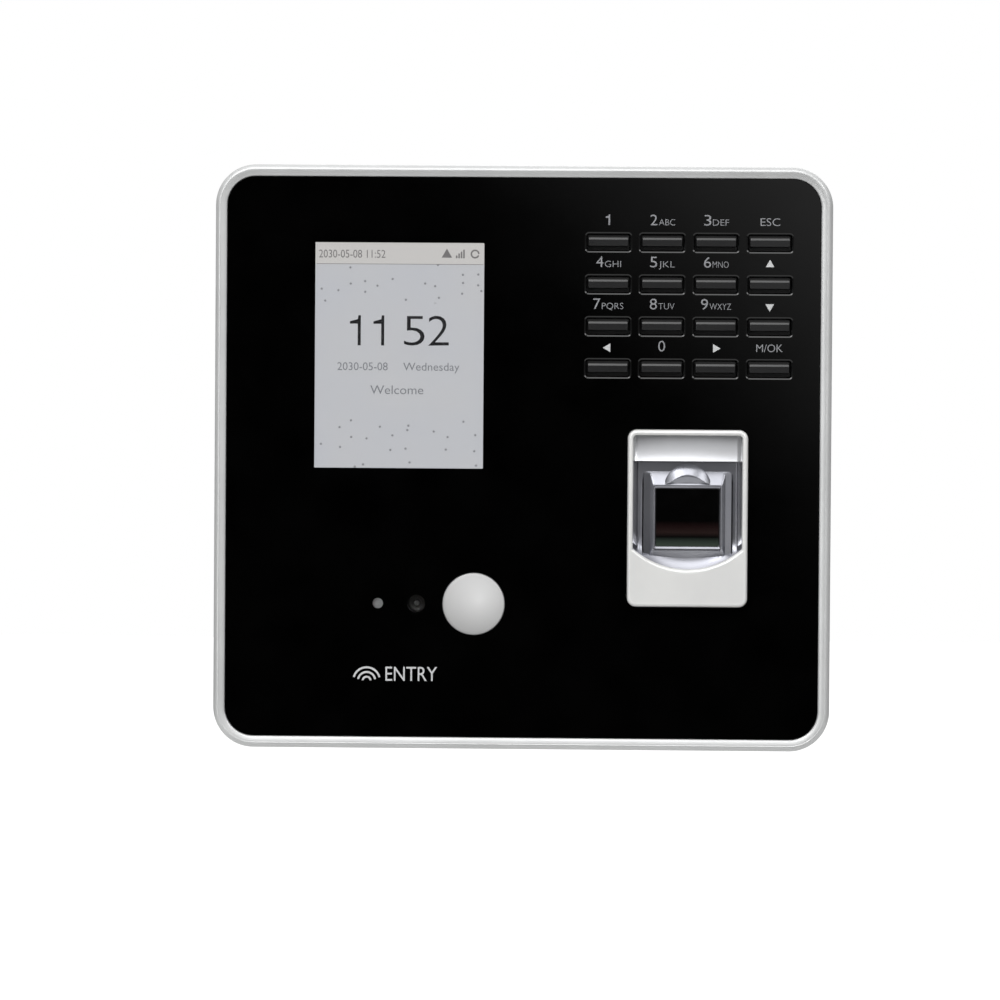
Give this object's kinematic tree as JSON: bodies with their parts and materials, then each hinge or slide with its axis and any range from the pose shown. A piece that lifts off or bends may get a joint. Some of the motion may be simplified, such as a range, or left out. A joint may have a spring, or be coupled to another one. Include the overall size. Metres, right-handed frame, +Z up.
{
  "type": "fingerprint scanner terminal",
  "caption": "Wall-mounted access terminal with a lit display, bar keypad, camera, lamp and fingerprint reader, hung on a steel wall plate and locked from below.",
  "frame": {"origin": "middle of the wall plate's back face, on the wall's plane", "axes": "+X to the right and +Z up as seen from the front, +Y into the wall; the face looks along -Y"},
  "size_m": [0.1574, 0.0322, 0.149],
  "materials": {
    "silver_paint": "silver lacquer over moulded plastic",
    "clear_acrylic": "polished clear acrylic",
    "black_print": "black print film",
    "foam_tape": "adhesive foam frame",
    "black_abs": "fine moulded texture",
    "key_plastic": "satin dark grey moulding",
    "silicone": "translucent silicone",
    "circuit_board": "green solder mask",
    "display_glass": "lit colour display",
    "white_plastic": "white moulding",
    "nickel_sheet": "plated steel sheet",
    "flat_cable": "polyimide flat cable",
    "black_optics": "black optical moulding",
    "diffuser": "opal diffuser",
    "reader_grey": "grey metallic lacquer",
    "prism_glass": "black backed optical glass",
    "cell_steel": "stainless coin cell",
    "relay_blue": "blue relay case",
    "speaker_black": "pressed basket and cone",
    "terminal_green": "green polyamide",
    "black_rubber": "soft black rubber",
    "actuator_brown": "phenolic plunger",
    "switch_red": "red actuator",
    "screw_steel": "zinc plated steel",
    "galvanised": "galvanised steel sheet"
  },
  "bodies": {
    "wall_mount": {"wall_plate": "galvanised"},
    "terminal": {"rear_housing": "black_abs", "front_housing": "black_abs", "front_bezel": "silver_paint", "front_lens": "clear_acrylic", "lens_mask": "black_print", "lens_gasket": "foam_tape", "keypad_mat": "silicone", "keypad_pcb": "circuit_board", "lcd_panel": "display_glass", "lcd_backlight": "white_plastic", "lcd_bracket": "nickel_sheet", "display_cable": "flat_cable", "camera_lens": "black_optics", "camera_holder": "black_optics", "camera_board": "circuit_board", "lamp_diffuser": "diffuser", "lamp_reflector": "white_plastic", "lamp_board": "circuit_board", "light_pipe": "diffuser", "reader_bezel": "silver_paint", "reader_cradle": "reader_grey", "sensor_window": "prism_glass", "reader_optics": "black_optics", "reader_pcb": "circuit_board", "reader_cable": "flat_cable", "main_pcb": "circuit_board", "processor_shield": "nickel_sheet", "clock_battery": "cell_steel", "battery_holder": "white_plastic", "speaker": "speaker_black", "relay": "relay_blue", "ethernet_jack": "nickel_sheet", "power_jack": "black_optics", "terminal_block": "terminal_green", "usb_socket": "nickel_sheet", "reset_switch": "black_abs", "tamper_switch": "black_abs", "housing_screws": "screw_steel", "board_screws": "screw_steel"},
    "locking_screw": {"locking_screw": "screw_steel"},
    "usb_cover": {"usb_cover": "black_rubber"},
    "reset_button": {"reset_button": "actuator_brown"},
    "tamper_plunger": {"tamper_plunger": "switch_red"},
    "key_1": {"key_1": "key_plastic"},
    "key_2": {"key_2": "key_plastic"},
    "key_3": {"key_3": "key_plastic"},
    "key_esc": {"key_esc": "key_plastic"},
    "key_4": {"key_4": "key_plastic"},
    "key_5": {"key_5": "key_plastic"},
    "key_6": {"key_6": "key_plastic"},
    "key_up": {"key_up": "key_plastic"},
    "key_7": {"key_7": "key_plastic"},
    "key_8": {"key_8": "key_plastic"},
    "key_9": {"key_9": "key_plastic"},
    "key_down": {"key_down": "key_plastic"},
    "key_left": {"key_left": "key_plastic"},
    "key_0": {"key_0": "key_plastic"},
    "key_right": {"key_right": "key_plastic"},
    "key_ok": {"key_ok": "key_plastic"}
  },
  "joints": [
    {"name": "terminal_lift", "type": "slide", "parent": "wall_mount", "child": "terminal", "axis": [0, 0, 1], "range_m": [0, 0.006]},
    {"name": "locking_screw_out", "type": "slide", "parent": "wall_mount", "child": "locking_screw", "axis": [0, 0, -1], "range_m": [0, 0.0062]},
    {"name": "usb_cover_hinge", "type": "hinge", "parent": "terminal", "child": "usb_cover", "pos_m": [0.03075, -0.0096, -0.0705], "axis": [1, 0, 0], "range_deg": [0, 100]},
    {"name": "reset_press", "type": "slide", "parent": "terminal", "child": "reset_button", "axis": [0, -1, 0], "range_m": [0, 0.0005], "stiffness_N_per_m": 800, "springref_m": -0.0003},
    {"name": "tamper_release", "type": "slide", "parent": "terminal", "child": "tamper_plunger", "axis": [0, 1, 0], "range_m": [0, 0.002], "stiffness_N_per_m": 60, "springref_m": 0.003},
    {"name": "key_1_press", "type": "slide", "parent": "terminal", "child": "key_1", "axis": [0, 1, 0], "range_m": [0, 0.0008], "stiffness_N_per_m": 500, "springref_m": -0.0005},
    {"name": "key_2_press", "type": "slide", "parent": "terminal", "child": "key_2", "axis": [0, 1, 0], "range_m": [0, 0.0008], "stiffness_N_per_m": 500, "springref_m": -0.0005},
    {"name": "key_3_press", "type": "slide", "parent": "terminal", "child": "key_3", "axis": [0, 1, 0], "range_m": [0, 0.0008], "stiffness_N_per_m": 500, "springref_m": -0.0005},
    {"name": "key_esc_press", "type": "slide", "parent": "terminal", "child": "key_esc", "axis": [0, 1, 0], "range_m": [0, 0.0008], "stiffness_N_per_m": 500, "springref_m": -0.0005},
    {"name": "key_4_press", "type": "slide", "parent": "terminal", "child": "key_4", "axis": [0, 1, 0], "range_m": [0, 0.0008], "stiffness_N_per_m": 500, "springref_m": -0.0005},
    {"name": "key_5_press", "type": "slide", "parent": "terminal", "child": "key_5", "axis": [0, 1, 0], "range_m": [0, 0.0008], "stiffness_N_per_m": 500, "springref_m": -0.0005},
    {"name": "key_6_press", "type": "slide", "parent": "terminal", "child": "key_6", "axis": [0, 1, 0], "range_m": [0, 0.0008], "stiffness_N_per_m": 500, "springref_m": -0.0005},
    {"name": "key_up_press", "type": "slide", "parent": "terminal", "child": "key_up", "axis": [0, 1, 0], "range_m": [0, 0.0008], "stiffness_N_per_m": 500, "springref_m": -0.0005},
    {"name": "key_7_press", "type": "slide", "parent": "terminal", "child": "key_7", "axis": [0, 1, 0], "range_m": [0, 0.0008], "stiffness_N_per_m": 500, "springref_m": -0.0005},
    {"name": "key_8_press", "type": "slide", "parent": "terminal", "child": "key_8", "axis": [0, 1, 0], "range_m": [0, 0.0008], "stiffness_N_per_m": 500, "springref_m": -0.0005},
    {"name": "key_9_press", "type": "slide", "parent": "terminal", "child": "key_9", "axis": [0, 1, 0], "range_m": [0, 0.0008], "stiffness_N_per_m": 500, "springref_m": -0.0005},
    {"name": "key_down_press", "type": "slide", "parent": "terminal", "child": "key_down", "axis": [0, 1, 0], "range_m": [0, 0.0008], "stiffness_N_per_m": 500, "springref_m": -0.0005},
    {"name": "key_left_press", "type": "slide", "parent": "terminal", "child": "key_left", "axis": [0, 1, 0], "range_m": [0, 0.0008], "stiffness_N_per_m": 500, "springref_m": -0.0005},
    {"name": "key_0_press", "type": "slide", "parent": "terminal", "child": "key_0", "axis": [0, 1, 0], "range_m": [0, 0.0008], "stiffness_N_per_m": 500, "springref_m": -0.0005},
    {"name": "key_right_press", "type": "slide", "parent": "terminal", "child": "key_right", "axis": [0, 1, 0], "range_m": [0, 0.0008], "stiffness_N_per_m": 500, "springref_m": -0.0005},
    {"name": "key_ok_press", "type": "slide", "parent": "terminal", "child": "key_ok", "axis": [0, 1, 0], "range_m": [0, 0.0008], "stiffness_N_per_m": 500, "springref_m": -0.0005}
  ]
}
